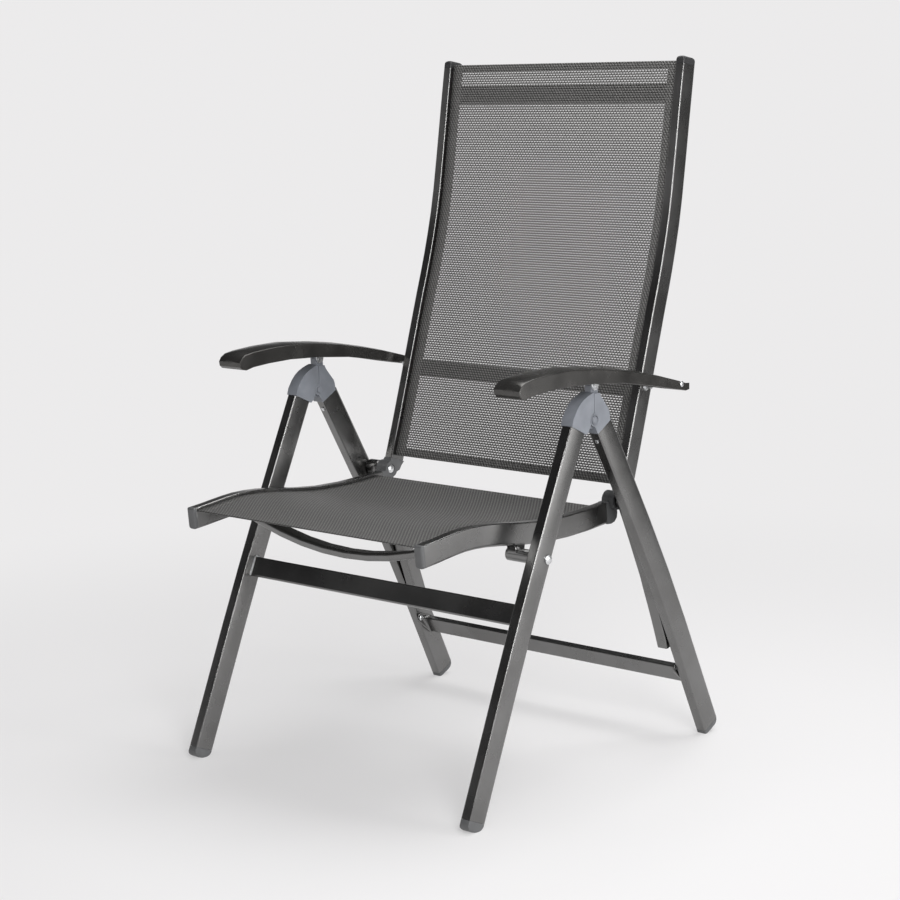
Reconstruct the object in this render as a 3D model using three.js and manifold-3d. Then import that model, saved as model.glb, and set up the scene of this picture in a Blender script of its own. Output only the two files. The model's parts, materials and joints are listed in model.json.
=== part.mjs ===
// Folding sling patio chair: aluminium frame, stretched mesh seat and back, adjustable back, armrests.
// Millimetres, +X to the sitter's left, +Y to the rear, +Z up, origin under the centre of the chair.
import * as THREE from 'three';
import { mergeVertices } from 'three/addons/utils/BufferGeometryUtils.js';
import Module from 'manifold-3d';

const wasm = await Module();
wasm.setup();

// Overall sizes, across the armrests, from front to rear foot and from floor to top cap
const CHAIR_WIDTH = 638.4;
const CHAIR_DEPTH = 685.7;
const CHAIR_HEIGHT = 1110;

// Side-view tables below are [y, z] on a drawing of this size, moved along y to centre the chair.
const DRAWING = { depth: 685.7, height: 1110, shiftY: 21.9 };

// Clearances
const FIT_GAP = 0.3;
const TURN_GAP = 0.5;

// Widths across the chair, from the armrests inwards
const ARM_WIDTH = 50;
const ARM_X = (CHAIR_WIDTH - ARM_WIDTH) / 2;
const LEG_X = ARM_X;
const LEG_WIDTH = 19.8;
const HUB_WIDTH = 22;
const KNUCKLE_WIDTH = 11.6;
const LINK_WIDTH = 20.5;
const LINK_SPACE = 1.6;
const LINK_X = LEG_X - LEG_WIDTH / 2 - LINK_SPACE - LINK_WIDTH / 2;
const BACK_RAIL_WIDTH = 16;
const BACK_RAIL_SPACE = 5.6;
const BACK_RAIL_X = LINK_X - LINK_WIDTH / 2 - BACK_RAIL_SPACE - BACK_RAIL_WIDTH / 2;
const SEAT_RAIL_WIDTH = 16.4;
const SEAT_RAIL_STEP = 6.4;
const SEAT_RAIL_X = BACK_RAIL_X - SEAT_RAIL_STEP;

// Tubes
const LEG_DEPTH = 39;
const REAR_LEG_DEPTH = 41;
const LEG_FRONT_RADIUS = 2.2;
const LEG_BACK_RADIUS = 6.5;
const LEG_BULGE = 1.1;
const BACK_RAIL_DEPTH = 34;
const SEAT_RAIL_DEPTH = 35;
const RAIL_FACE_RADIUS = 2.2;
const RAIL_BACK_RADIUS = 5;
const TUBE_WALL = 1.7;
const MIN_RADIUS = 0.5;
const PLUG_LENGTH = 17;
const REAR_HUB_TENON = 28;
const TENON_GAP = 0.45;

// Pivots, on the drawing
const HUB_PIVOT = [-25.5, 568.6];
const ARM_PIVOT = [-18, 621];
const SEAT_PIVOT = [-144.5, 374.4];
const BACK_PIVOT = [93.8, 417.8];
const LINK_PIVOT = [150, 292];
const STUD = [169.5, 591.5];
const ARM_RIVET = [181.2, 598];

// Centre lines and faces, on the drawing
const FRONT_LEG_FACE = [[-337, 22], [-212.6, 296], [-80.8, 566.1]];
const REAR_LEG_FACE = [[256, 6], [128.7, 281], [-15.3, 547.2]];
const SEAT_TOP = [
  [-358.6, 429.2], [-340, 430.6], [-320, 432.6], [-300, 434.6], [-280, 436.2], [-262, 436.9], [-240, 436.3],
  [-215, 434.4], [-190, 431.2], [-142, 424], [-104, 418.4], [-55, 415], [-10, 414], [30, 415], [70, 417.4],
];
const BACK_FACE = [
  [101.2, 436.4], [126.8, 508], [163.2, 617], [195.2, 712], [212, 760], [224.6, 800], [238.6, 850],
  [250.6, 905], [268.7, 1005], [286.2, 1099],
];
const LINK_LINE = [
  BACK_PIVOT, [119, 362], [139.5, 314], [149, 292], [158, 267], [173.5, 226], [186, 190], [194.8, 163],
];

// Armrest: the two side-view lines are given from the nose to the tail and back.
const ARM_TOP = [
  [-219, 640], [-214.5, 647.8], [-205.7, 653.9], [-188, 656.5], [-152, 658.7], [-102, 658.7],
  [-34.6, 651.9], [17.5, 644], [78, 631.5], [125.5, 619.9], [173.8, 606], [194, 599.4], [203.2, 592.8],
];
const ARM_BOTTOM = [
  [203, 586.5], [194, 585.4], [154.7, 593.6], [106.6, 604.2], [34.5, 618], [-42, 627], [-103, 631],
  [-153, 630.6], [-188, 628.6], [-204, 625.4], [-213, 627.4], [-218, 632],
];
const ARM_DEPTH = 28;
const ARM_CROWN = 3.6;
const ARM_EDGE = 1.2;
const ARM_STATIONS = [0, 0.3, 0.6, 0.8];
const EDGE_SHARES = [[0, 0], [0.6, 0.2], [0.9, 0.55], [1, 1]];
const ARM_WALL = 4;
const ARM_ROOF_DEPTH = 4.4;
const ARM_NOSE_Y = -176;
const ARM_TAIL_Y = 190;

// Bars
const CROSSBAR_WALL = 1.6;
const FRONT_BAR = { centre: [-192, 294.8], height: 32.6, depth: 10, lean: -25.4, radius: 2.5 };
const REAR_BAR = { centre: [233, 106.4], height: 30.3, depth: 12, lean: 25, radius: 3 };
const UPPER_BAR = { faceZ: 1053.8, height: 32, depth: 13, radius: 4 };
const LUMBAR_BAR = { faceZ: 588, height: 28, depth: 13, radius: 4 };
const BAR_GAP = 0.5;
const FRONT_SPREADER = { end: [-258, 414.5], height: 13.5, depth: 25, radius: 5, sag: 48 };
const REAR_SPREADER = { end: [46, 397], height: 12, depth: 24, radius: 4, sag: 27 };

// Slings
const SLING_THICKNESS = 1.6;
const SEAT_SLING_RECESS = 5;
const BACK_SLING_RECESS = 8;
const SEAT_SLING_SAG = 5;
const BACK_SLING_SAG = 2;
const SEAT_SLING_ENDS = [-357, 62];
const BACK_SLING_ENDS = [439, 1103.5];
const BACK_SLING_TOP = [287.6, 1106];
const SAG_POWER = 4;

// Screws, pins and what they pass through
const PIVOT_BOLT = { shank: 4, head: 7.5, headLength: 3 };
const SMALL_SCREW = { shank: 2.2, head: 4.6, headLength: 1.8 };
const HUB_SCREW = { shank: 1.8, head: 3.4, headLength: 1.6, length: 10, fromEnd: 17.5 };
const SEAT_SLEEVE = { radius: 10.5, inset: 13.2 };
const LOBE_RADIUS = 14.8;
const LOBE_SPLIT_X = SEAT_RAIL_X + 3;

// Hub outlines, on the drawing
const HUB_LOBE = 10;
const HUB_KNUCKLE = 13.4;
const HUB_NECK = [-27, -9.5];
const HUB_LOBE_ANGLES = [90, 112, 135, 158, 180, 202, 225, 248, 270];
const HUB_LOBE_CUT_ANGLES = [92, 112, 135, 158, 180, 196, 210];
const FRONT_HUB_TOP = [
  [-77, 577], [-67.9, 589.8], [-60.5, 597], [-52.1, 602.6], [-42, 607], [-31.1, 610.4], [-25.9, 611.4],
];
const FRONT_HUB_HEEL = [[-40.4, 553.2]];
const REAR_HUB_FOOT = [-3, 33];
const REAR_HUB_TOP = [
  [12, 575], [9.9, 580.9], [-0.3, 593.2], [-8, 602.5], [-11, 608.8], [-24.9, 609.4], [-25.2, 579],
];
const SEAT_KNUCKLE_HEEL = [
  [82, 381.6], [91, 383.6], [97, 389.4], [98.4, 397], [97.8, 402.4], [92, 412], [84, 417.4],
];
const BACK_FITTING_HEEL = [[126.5, 419], [121, 411.5], [110, 408], [99, 410], [88, 421]];

// Small parts
const HUB_PIN = { shank: 3.5, head: 5.5, headLength: 1.2 };
const ARM_PIN = { shank: 3, head: 5, headLength: 1.5 };
const ARM_STUD = { shank: 4, head: 7.5, headLength: 2 };
const ARM_LUG = 8;
const SADDLE = { foot: 9, top: 13, height: 24 };
const LINK_DEPTH = 26;
const LINK_RADIUS = 3;
const LINK_BOSS = 11;
const CROSSBAR_BOLT = [207, 121.4];
const CROSSBAR_LUG = { radius: 8.5, margin: 2, thickness: 3 };
const FRONT_FOOT = { length: 15.8, round: 4, toe: 11, heel: 25 };
const REAR_FOOT = { length: 10, round: 4, toe: 1.5, heel: 22 };
const RAIL_CAP = { length: 6.5, round: 3.5 };
const TOP_CAP = { length: 12.5, round: 6 };
const RACK = {
  sheet: 2,
  front: -36,
  rear: 186,
  notches: [[183, 591], [178, 592.6], [172, 597], [166, 595.6], [158, 600.8], [150, 600], [142, 605.4],
    [133, 604.8], [125, 609.4], [104, 613]],
};
const DOME_SHARE = 0.55;
const ROUND_END_SHARES = [[0.38, 0.08], [0.72, 0.3], [1, 0.75]];
const CORNER_ROOM = 0.48;

// Tubes as [width, depth, face radius, back radius, bulge of the sides]
const FRONT_LEG = [LEG_WIDTH, LEG_DEPTH, LEG_FRONT_RADIUS, LEG_BACK_RADIUS, LEG_BULGE];
const REAR_LEG = [LEG_WIDTH, REAR_LEG_DEPTH, LEG_FRONT_RADIUS, LEG_BACK_RADIUS, LEG_BULGE];
const SEAT_RAIL = [SEAT_RAIL_WIDTH, SEAT_RAIL_DEPTH, RAIL_FACE_RADIUS, RAIL_BACK_RADIUS, 0];
const BACK_RAIL = [BACK_RAIL_WIDTH, BACK_RAIL_DEPTH, RAIL_FACE_RADIUS, RAIL_BACK_RADIUS, 0];

// Mesh fineness
const TENON_ROOT = 1;
const FLOOR_CUT = 80;
const FOOT_MARGIN = 1;
const FOOT_EASE = 0.2;
const FOOT_ARC_STEPS = 8;
const ARC_STEPS = 4;
const ROUND_SEGMENTS = 20;
const BULGE_STEPS = 4;
const PATH_STEPS = 12;
const LEG_STEPS = 6;
const SPREADER_STEPS = 10;
const FINE_STEPS = 400;
const SLING_ROWS = 22;
const SLING_COLUMNS = 8;
const WELD = 1e-4;

const MATERIALS = {
  frame_metal: 0x2f2e2d,
  cap_plastic: 0x3c3d3f,
  hub_plastic: 0x8d98a6,
  arm_plastic: 0x353537,
  mesh_fabric: 0x3a3937,
  bright_steel: 0xb9bcc0,
};

const materials = Object.fromEntries(Object.entries(MATERIALS).map(([name, color]) => {
  const material = new THREE.MeshStandardMaterial({ color });
  material.name = name;
  return [name, material];
}));

// Vectors

const X_AXIS = new THREE.Vector3(1, 0, 0);
const Y_AXIS = new THREE.Vector3(0, 1, 0);
const Z_AXIS = new THREE.Vector3(0, 0, 1);

function onSide([y, z]) {
  return new THREE.Vector2(
    (y + DRAWING.shiftY) * (CHAIR_DEPTH / DRAWING.depth),
    z * (CHAIR_HEIGHT / DRAWING.height),
  );
}

function onDrawing({ y, z }) {
  return [y * (DRAWING.depth / CHAIR_DEPTH) - DRAWING.shiftY, z * (DRAWING.height / CHAIR_HEIGHT)];
}

function inSpace(x, point) {
  const p = onSide(point);
  return new THREE.Vector3(x, p.x, p.y);
}

// Height of a line of [y, z] points, in either direction, at one y
function heightOn(line, y) {
  const points = line[0][0] < line[line.length - 1][0] ? line : [...line].reverse();
  const i = Math.max(1, points.findIndex(([at]) => at >= y));
  const [[y0, z0], [y1, z1]] = [points[i - 1], points[i]];
  return THREE.MathUtils.mapLinear(THREE.MathUtils.clamp(y, y0, y1), y0, y1, z0, z1);
}

function smoothPath(x, points, steps) {
  const curve = new THREE.CatmullRomCurve3(points.map((p) => inSpace(x, p)), false, 'centripetal');
  const path = curve.getPoints(steps);
  const tangents = path.map((_, i) => curve.getTangent(i / steps));
  return { path, tangents };
}

// Solids

function solidOf(geometry) {
  const bare = geometry.clone();
  for (const name of Object.keys(bare.attributes)) {
    if (name !== 'position') bare.deleteAttribute(name);
  }
  const welded = mergeVertices(bare, WELD);
  const solid = new wasm.Manifold(new wasm.Mesh({
    numProp: 3,
    vertProperties: new Float32Array(welded.attributes.position.array),
    triVerts: new Uint32Array(welded.index.array),
  }));
  return solid;
}

function geometryOf(solid) {
  const mesh = solid.getMesh();
  const geometry = new THREE.BufferGeometry();
  geometry.setAttribute('position', new THREE.BufferAttribute(new Float32Array(mesh.vertProperties), 3));
  geometry.setIndex(new THREE.BufferAttribute(new Uint32Array(mesh.triVerts), 1));
  return geometry;
}

function mirrored(geometry) {
  const copy = geometry.clone();
  copy.scale(-1, 1, 1);
  const index = copy.index.array;
  for (let i = 0; i < index.length; i += 3) {
    [index[i + 1], index[i + 2]] = [index[i + 2], index[i + 1]];
  }
  return copy;
}

// Sections: u runs across the part, v from the back (negative) to the face at 0

// The points that make a straight side bulge, between its two corners
function sidePoints(u, from, to) {
  return Array.from({ length: BULGE_STEPS - 1 }, (_, i) => (
    new THREE.Vector2(u, THREE.MathUtils.lerp(from, to, (i + 1) / BULGE_STEPS))
  ));
}

// With a bulge, the section is as wide as given in the middle of its depth and narrower at face and back.
function roundedLoop(width, depth, faceRadius, backRadius, bulge, inset) {
  const w = width / 2 - inset;
  const face = -inset;
  const back = inset - depth;
  const rf = Math.max(faceRadius - inset, MIN_RADIUS);
  const rb = Math.max(backRadius - inset, MIN_RADIUS);
  const corners = [
    [w - rb, back + rb, rb],
    [w - rf, face - rf, rf],
    [rf - w, face - rf, rf],
    [rb - w, back + rb, rb],
  ];
  const arcs = corners.map(([cu, cv, r], corner) => Array.from({ length: ARC_STEPS }, (_, i) => {
    const a = (corner - 1 + i / (ARC_STEPS - 1)) * (Math.PI / 2);
    return new THREE.Vector2(cu + r * Math.cos(a), cv + r * Math.sin(a));
  }));
  if (bulge === 0) return arcs.flat();
  const loop = [
    ...arcs[0], ...sidePoints(w, back + rb, face - rf), ...arcs[1],
    ...arcs[2], ...sidePoints(-w, face - rf, back + rb), ...arcs[3],
  ];
  return loop.map(({ x, y }) => {
    const fromMiddle = (y + depth / 2) / (depth / 2);
    return new THREE.Vector2(x - Math.sign(x) * bulge * fromMiddle ** 2, y);
  });
}

// Skins a row of rings, each with an outer loop and perhaps a bore, and closes both ends.
function skin(rings, loops) {
  const count = loops.reduce((sum, loop) => sum + loop.length, 0);
  const index = [];
  const faces = THREE.ShapeUtils.triangulateShape(loops[0], loops.slice(1));
  const last = (rings.length - 1) * count;
  for (const [a, b, c] of faces) {
    index.push(a, b, c);
    index.push(last + a, last + c, last + b);
  }
  for (let ring = 0; ring < rings.length - 1; ring += 1) {
    let start = ring * count;
    for (const loop of loops) {
      for (let i = 0; i < loop.length; i += 1) {
        const a = start + i;
        const b = start + ((i + 1) % loop.length);
        index.push(a, a + count, b, b, a + count, b + count);
      }
      start += loop.length;
    }
  }
  const geometry = new THREE.BufferGeometry();
  const position = rings.flat().flatMap((p) => [p.x, p.y, p.z]);
  geometry.setAttribute('position', new THREE.Float32BufferAttribute(position, 3));
  geometry.setIndex(index);
  return geometry;
}

function ringAt(origin, tangent, side, loops) {
  const normal = new THREE.Vector3().crossVectors(side, tangent).normalize();
  return loops.flat().map((p) => origin.clone().addScaledVector(side, p.x).addScaledVector(normal, p.y));
}

function sweep({ path, tangents }, side, loops) {
  return skin(path.map((origin, i) => ringAt(origin, tangents[i], side, loops)), loops);
}

function tubeLoops(section, wall) {
  return [roundedLoop(...section, 0), roundedLoop(...section, wall).reverse()];
}

// A plug in a tube's end: a tenon inside the tube, then a cap as wide as the tube with a rounded end.
function endPlug(end, section, length, round) {
  const tenon = TUBE_WALL + TENON_GAP;
  const stations = [
    [-PLUG_LENGTH, tenon], [FIT_GAP, tenon], [FIT_GAP, 0], [length - round, 0],
    ...ROUND_END_SHARES.map(([along, inset]) => [length - round * (1 - along), round * inset]),
  ];
  const loopsAt = (inset) => [roundedLoop(...section, inset)];
  const rings = stations.map(([along, inset]) => {
    const origin = end.origin.clone().addScaledVector(end.tangent, end.sign * along);
    return ringAt(origin, end.tangent, X_AXIS, loopsAt(inset));
  });
  return skin(end.sign < 0 ? rings.reverse() : rings, loopsAt(0));
}

// Flat pieces cut to a side-view outline, from one x to another

function outlineShape(points, radius) {
  const p = points.map(onSide);
  const shape = new THREE.Shape();
  p.forEach((corner, i) => {
    const before = p[(i + p.length - 1) % p.length];
    const after = p[(i + 1) % p.length];
    const cut = Math.min(radius, ...[before, after].map((next) => corner.distanceTo(next) * CORNER_ROOM));
    const enter = corner.clone().lerp(before, cut / corner.distanceTo(before));
    const leave = corner.clone().lerp(after, cut / corner.distanceTo(after));
    if (i === 0) shape.moveTo(enter.x, enter.y);
    else shape.lineTo(enter.x, enter.y);
    if (radius > 0) shape.quadraticCurveTo(corner.x, corner.y, leave.x, leave.y);
  });
  return shape;
}

function plate(points, x0, x1, radius = 0) {
  const geometry = new THREE.ExtrudeGeometry(outlineShape(points, radius), {
    depth: x1 - x0,
    curveSegments: ARC_STEPS,
    bevelEnabled: false,
  });
  geometry.translate(0, 0, x0);
  return solidOf(geometry.applyMatrix4(new THREE.Matrix4().makeBasis(Y_AXIS, Z_AXIS, X_AXIS)));
}

function disc([y, z], radius, x0, x1) {
  const geometry = new THREE.CylinderGeometry(radius, radius, x1 - x0, ROUND_SEGMENTS);
  geometry.rotateZ(Math.PI / 2);
  const centre = inSpace((x0 + x1) / 2, [y, z]);
  geometry.translate(centre.x, centre.y, centre.z);
  return solidOf(geometry);
}

// A round pin along x from a profile of [x, radius] pairs, wound from the smaller x to the larger.
function pin([y, z], profile) {
  const points = [[profile[0][0], 0], ...profile, [profile[profile.length - 1][0], 0]]
    .map(([x, r]) => new THREE.Vector2(r, x));
  const geometry = new THREE.LatheGeometry(points, ROUND_SEGMENTS);
  geometry.rotateZ(-Math.PI / 2);
  const centre = inSpace(0, [y, z]);
  geometry.translate(0, centre.y, centre.z);
  return geometryOf(solidOf(geometry));
}

// Tubes that follow a face in side view

function tubeEnds(x, face) {
  const { path, tangents } = smoothPath(x, face, PATH_STEPS);
  return {
    start: { origin: path[0], tangent: tangents[0], sign: -1 },
    finish: { origin: path[PATH_STEPS], tangent: tangents[PATH_STEPS], sign: 1 },
  };
}

function tube(x, face, section, steps, holes = []) {
  const solid = solidOf(sweep(smoothPath(x, face, steps), X_AXIS, tubeLoops(section, TUBE_WALL)));
  return geometryOf(holes.reduce((rest, hole) => rest.subtract(hole), solid));
}

// A foot's outline on the drawing: its toe is rounded at the leg's face and its heel at the leg's back
function footOutline(end, depth, { length, toe, heel }) {
  const corner = (centreDepth, radius, from) => Array.from({ length: FOOT_ARC_STEPS + 1 }, (_, i) => {
    const a = (from + i / FOOT_ARC_STEPS) * (Math.PI / 2);
    return endPoint(end, centreDepth + radius * Math.cos(a), length - radius + radius * Math.sin(a));
  });
  return [
    endPoint(end, depth + FOOT_MARGIN, -PLUG_LENGTH - FOOT_MARGIN),
    endPoint(end, depth + FOOT_MARGIN, length - heel),
    ...corner(depth + FOOT_EASE - heel, heel, 0),
    ...corner(toe - FOOT_EASE, toe, 1),
    endPoint(end, -FOOT_MARGIN, length - toe),
    endPoint(end, -FOOT_MARGIN, -PLUG_LENGTH - FOOT_MARGIN),
  ];
}

function footCap(face, section, foot) {
  const { start } = tubeEnds(LEG_X, face);
  const outline = plate(footOutline(start, section[1], foot), LEG_X - LEG_WIDTH, LEG_X + LEG_WIDTH);
  const cap = solidOf(endPlug(start, section, foot.length, foot.round)).intersect(outline);
  const cut = new THREE.BoxGeometry(FLOOR_CUT, FLOOR_CUT * 2, FLOOR_CUT);
  cut.translate(start.origin.x, start.origin.y, -FLOOR_CUT / 2);
  return geometryOf(cap.subtract(solidOf(cut)));
}

function tenonOf(end, section, length = PLUG_LENGTH) {
  const inset = TUBE_WALL + TENON_GAP;
  const loops = [roundedLoop(...section, inset)];
  const rings = [-length, TENON_ROOT].map((along) => {
    const origin = end.origin.clone().addScaledVector(end.tangent, end.sign * along);
    return ringAt(origin, end.tangent, X_AXIS, loops);
  });
  return solidOf(skin(end.sign < 0 ? rings.reverse() : rings, loops));
}

// Points on the drawing at a tube's square-cut end, by depth behind its face and distance beyond its end
function endPoint(end, depth, beyond) {
  const normal = new THREE.Vector3().crossVectors(X_AXIS, end.tangent).normalize();
  const p = end.origin.clone()
    .addScaledVector(normal, -depth)
    .addScaledVector(end.tangent, end.sign * beyond);
  return onDrawing(p);
}

// The place on a tube's face for a screw at a distance from the tube's end, and the way out of the face
function faceSpot(x, face, fromEnd) {
  const { finish } = tubeEnds(x, face);
  const outward = new THREE.Vector3().crossVectors(X_AXIS, finish.tangent).normalize();
  return { origin: finish.origin.clone().addScaledVector(finish.tangent, -fromEnd), outward };
}

function stoodAt({ origin, outward }, geometry) {
  geometry.applyQuaternion(new THREE.Quaternion().setFromUnitVectors(Y_AXIS, outward));
  geometry.translate(origin.x, origin.y, origin.z);
  return solidOf(geometry);
}

function drill(spot, { shank, length }) {
  const radius = shank + FIT_GAP;
  const geometry = new THREE.CylinderGeometry(radius, radius, length + FIT_GAP * 2, ROUND_SEGMENTS);
  geometry.translate(0, -length / 2, 0);
  return stoodAt(spot, geometry);
}

function screwAt(spot, { shank, head, headLength, length }) {
  const profile = [
    [0, -length], [shank, -length], [shank, FIT_GAP], [head, FIT_GAP],
    [head, FIT_GAP + headLength * DOME_SHARE],
    [head * DOME_SHARE, FIT_GAP + headLength],
    [0, FIT_GAP + headLength],
  ];
  const points = profile.map(([r, along]) => new THREE.Vector2(r, along));
  return geometryOf(stoodAt(spot, new THREE.LatheGeometry(points, ROUND_SEGMENTS)));
}

function around([y, z], radius, degrees) {
  return degrees.map((d) => {
    const a = THREE.MathUtils.degToRad(d);
    return [y + radius * Math.cos(a), z + radius * Math.sin(a)];
  });
}

// Hubs: the front hub is a knuckle on the pivot between two cheeks of the rear hub

function frontHub() {
  const { finish } = tubeEnds(LEG_X, FRONT_LEG_FACE);
  const body = [
    endPoint(finish, 0, FIT_GAP), ...FRONT_HUB_TOP,
    ...around(HUB_PIVOT, HUB_LOBE + TURN_GAP, HUB_LOBE_CUT_ANGLES),
    ...FRONT_HUB_HEEL, endPoint(finish, FRONT_LEG[1], FIT_GAP),
  ];
  const inner = [LEG_X - KNUCKLE_WIDTH / 2, LEG_X + KNUCKLE_WIDTH / 2];
  const neck = [[HUB_NECK[0], HUB_PIVOT[1]], [HUB_NECK[1], HUB_PIVOT[1]], [HUB_NECK[1], ARM_PIVOT[1]],
    [HUB_NECK[0], ARM_PIVOT[1]]];
  return geometryOf(plate(body, LEG_X - HUB_WIDTH / 2, LEG_X + HUB_WIDTH / 2)
    .add(disc(HUB_PIVOT, HUB_KNUCKLE, ...inner))
    .add(plate(neck, ...inner))
    .add(disc(ARM_PIVOT, ARM_LUG, ...inner))
    .add(tenonOf(finish, FRONT_LEG))
    .subtract(disc(HUB_PIVOT, HUB_PIN.shank + FIT_GAP, 0, ARM_X + ARM_WIDTH))
    .subtract(disc(ARM_PIVOT, ARM_PIN.shank + FIT_GAP, 0, ARM_X + ARM_WIDTH)));
}

function rearHub() {
  const { finish } = tubeEnds(LEG_X, REAR_LEG_FACE);
  const body = [
    ...around(HUB_PIVOT, HUB_LOBE, HUB_LOBE_ANGLES),
    endPoint(finish, REAR_HUB_FOOT[0], FIT_GAP), endPoint(finish, REAR_HUB_FOOT[1], FIT_GAP),
    ...REAR_HUB_TOP,
  ];
  const slot = [LEG_X - KNUCKLE_WIDTH / 2 - FIT_GAP, LEG_X + KNUCKLE_WIDTH / 2 + FIT_GAP];
  const neckRoom = [
    [HUB_NECK[0] * 2, HUB_PIVOT[1]], [HUB_NECK[1] + TURN_GAP, HUB_PIVOT[1]],
    [HUB_NECK[1] + TURN_GAP, ARM_PIVOT[1]], [HUB_NECK[0] * 2, ARM_PIVOT[1]],
  ];
  return geometryOf(plate(body, LEG_X - HUB_WIDTH / 2, LEG_X + HUB_WIDTH / 2)
    .add(tenonOf(finish, REAR_LEG, REAR_HUB_TENON))
    .subtract(drill(faceSpot(LEG_X, REAR_LEG_FACE, HUB_SCREW.fromEnd), HUB_SCREW))
    .subtract(disc(HUB_PIVOT, HUB_KNUCKLE + TURN_GAP, ...slot))
    .subtract(plate(neckRoom, ...slot))
    .subtract(disc(HUB_PIVOT, HUB_PIN.shank + FIT_GAP, 0, ARM_X + ARM_WIDTH)));
}

// Knuckles at the seat's rear: seat and back lobes side by side on one bolt

function seatKnuckle() {
  const { finish } = tubeEnds(SEAT_RAIL_X, SEAT_TOP);
  const x0 = SEAT_RAIL_X - SEAT_RAIL_WIDTH / 2;
  const body = [
    endPoint(finish, 0, FIT_GAP), endPoint(finish, SEAT_RAIL[1], FIT_GAP), ...SEAT_KNUCKLE_HEEL,
  ];
  return geometryOf(plate(body, x0, x0 + SEAT_RAIL_WIDTH)
    .subtract(disc(BACK_PIVOT, LOBE_RADIUS + TURN_GAP, LOBE_SPLIT_X, x0 + SEAT_RAIL_WIDTH))
    .add(disc(BACK_PIVOT, LOBE_RADIUS, x0, LOBE_SPLIT_X))
    .add(tenonOf(finish, SEAT_RAIL))
    .subtract(disc(BACK_PIVOT, PIVOT_BOLT.head + TURN_GAP, 0, x0 + PIVOT_BOLT.headLength))
    .subtract(disc(BACK_PIVOT, PIVOT_BOLT.shank + FIT_GAP, 0, LINK_X)));
}

function backFitting() {
  const { start } = tubeEnds(BACK_RAIL_X, BACK_FACE);
  const x1 = BACK_RAIL_X + BACK_RAIL_WIDTH / 2;
  const split = LOBE_SPLIT_X + FIT_GAP;
  const body = [
    endPoint(start, 0, FIT_GAP), endPoint(start, BACK_RAIL[1], FIT_GAP), ...BACK_FITTING_HEEL,
  ];
  return geometryOf(plate(body, x1 - BACK_RAIL_WIDTH, x1)
    .subtract(disc(BACK_PIVOT, LOBE_RADIUS + TURN_GAP, x1 - BACK_RAIL_WIDTH, split))
    .add(disc(BACK_PIVOT, LOBE_RADIUS, split, x1))
    .add(tenonOf(start, BACK_RAIL))
    .subtract(disc(BACK_PIVOT, PIVOT_BOLT.shank + FIT_GAP, 0, LINK_X)));
}

function link() {
  const x0 = LINK_X - LINK_WIDTH / 2;
  const section = [LINK_WIDTH, LINK_DEPTH, LINK_RADIUS, LINK_RADIUS, 0];
  const loops = [roundedLoop(...section, 0).map((p) => p.add(new THREE.Vector2(0, LINK_DEPTH / 2)))];
  const spacer = BACK_RAIL_X + BACK_RAIL_WIDTH / 2 + FIT_GAP;
  return geometryOf(solidOf(sweep(smoothPath(LINK_X, LINK_LINE, PATH_STEPS), X_AXIS, loops))
    .add(disc(BACK_PIVOT, LINK_DEPTH / 2, x0, x0 + LINK_WIDTH))
    .add(disc(BACK_PIVOT, LINK_BOSS, spacer, x0 + LINK_WIDTH / 2))
    .subtract(disc(BACK_PIVOT, PIVOT_BOLT.shank + FIT_GAP, 0, x0 + LINK_WIDTH - FIT_GAP * 2)));
}

function seatSleeve() {
  const legFace = LEG_X - LEG_WIDTH / 2 - FIT_GAP;
  const railX = [SEAT_RAIL_X - SEAT_RAIL_WIDTH / 2, SEAT_RAIL_X + SEAT_RAIL_WIDTH / 2];
  const saddle = [
    [SEAT_PIVOT[0] - SADDLE.foot, SEAT_PIVOT[1]], [SEAT_PIVOT[0] + SADDLE.foot, SEAT_PIVOT[1]],
    [SEAT_PIVOT[0] + SADDLE.top, SEAT_PIVOT[1] + SADDLE.height],
    [SEAT_PIVOT[0] - SADDLE.top, SEAT_PIVOT[1] + SADDLE.height],
  ];
  const rail = smoothPath(SEAT_RAIL_X, SEAT_TOP, PATH_STEPS);
  const room = roundedLoop(...SEAT_RAIL, -FIT_GAP);
  return geometryOf(plate(saddle, ...railX)
    .add(disc(SEAT_PIVOT, SEAT_SLEEVE.radius, SEAT_RAIL_X - SEAT_SLEEVE.inset, legFace))
    .subtract(solidOf(sweep(rail, X_AXIS, [room])))
    .subtract(disc(SEAT_PIVOT, PIVOT_BOLT.shank + FIT_GAP, 0, LEG_X)));
}

// Armrest: crowned across its top, with a solid nose, and a channel open underneath

// The part of a line between two ys, lowered
function lineBetween(line, from, to, drop) {
  const ends = [from, to].map((y) => [y, heightOn(line, y)]);
  const middle = line.filter(([y]) => y > from && y < to);
  return [ends[0], ...middle, ends[1]].map(([y, z]) => [y, z - drop]);
}

function armRoof(from, to, below) {
  return lineBetween(ARM_TOP, from, to, ARM_ROOF_DEPTH + below);
}

// The outline at one place across the armrest, pulled in at the edge, its top lowered by the crown
function armOutline(share, inset) {
  const outline = [...ARM_TOP, ...ARM_BOTTOM];
  return outline.map(([y, z], i) => {
    const [y0, z0] = outline[(i + outline.length - 1) % outline.length];
    const [y1, z1] = outline[(i + 1) % outline.length];
    const outward = new THREE.Vector2(z0 - z1, y1 - y0).normalize();
    const depth = heightOn(ARM_TOP, y) - heightOn(ARM_BOTTOM, y);
    const drop = i < ARM_TOP.length ? (ARM_CROWN * share ** 2 * depth) / ARM_DEPTH : 0;
    return [y - outward.x * inset, z - outward.y * inset - drop];
  });
}

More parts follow.
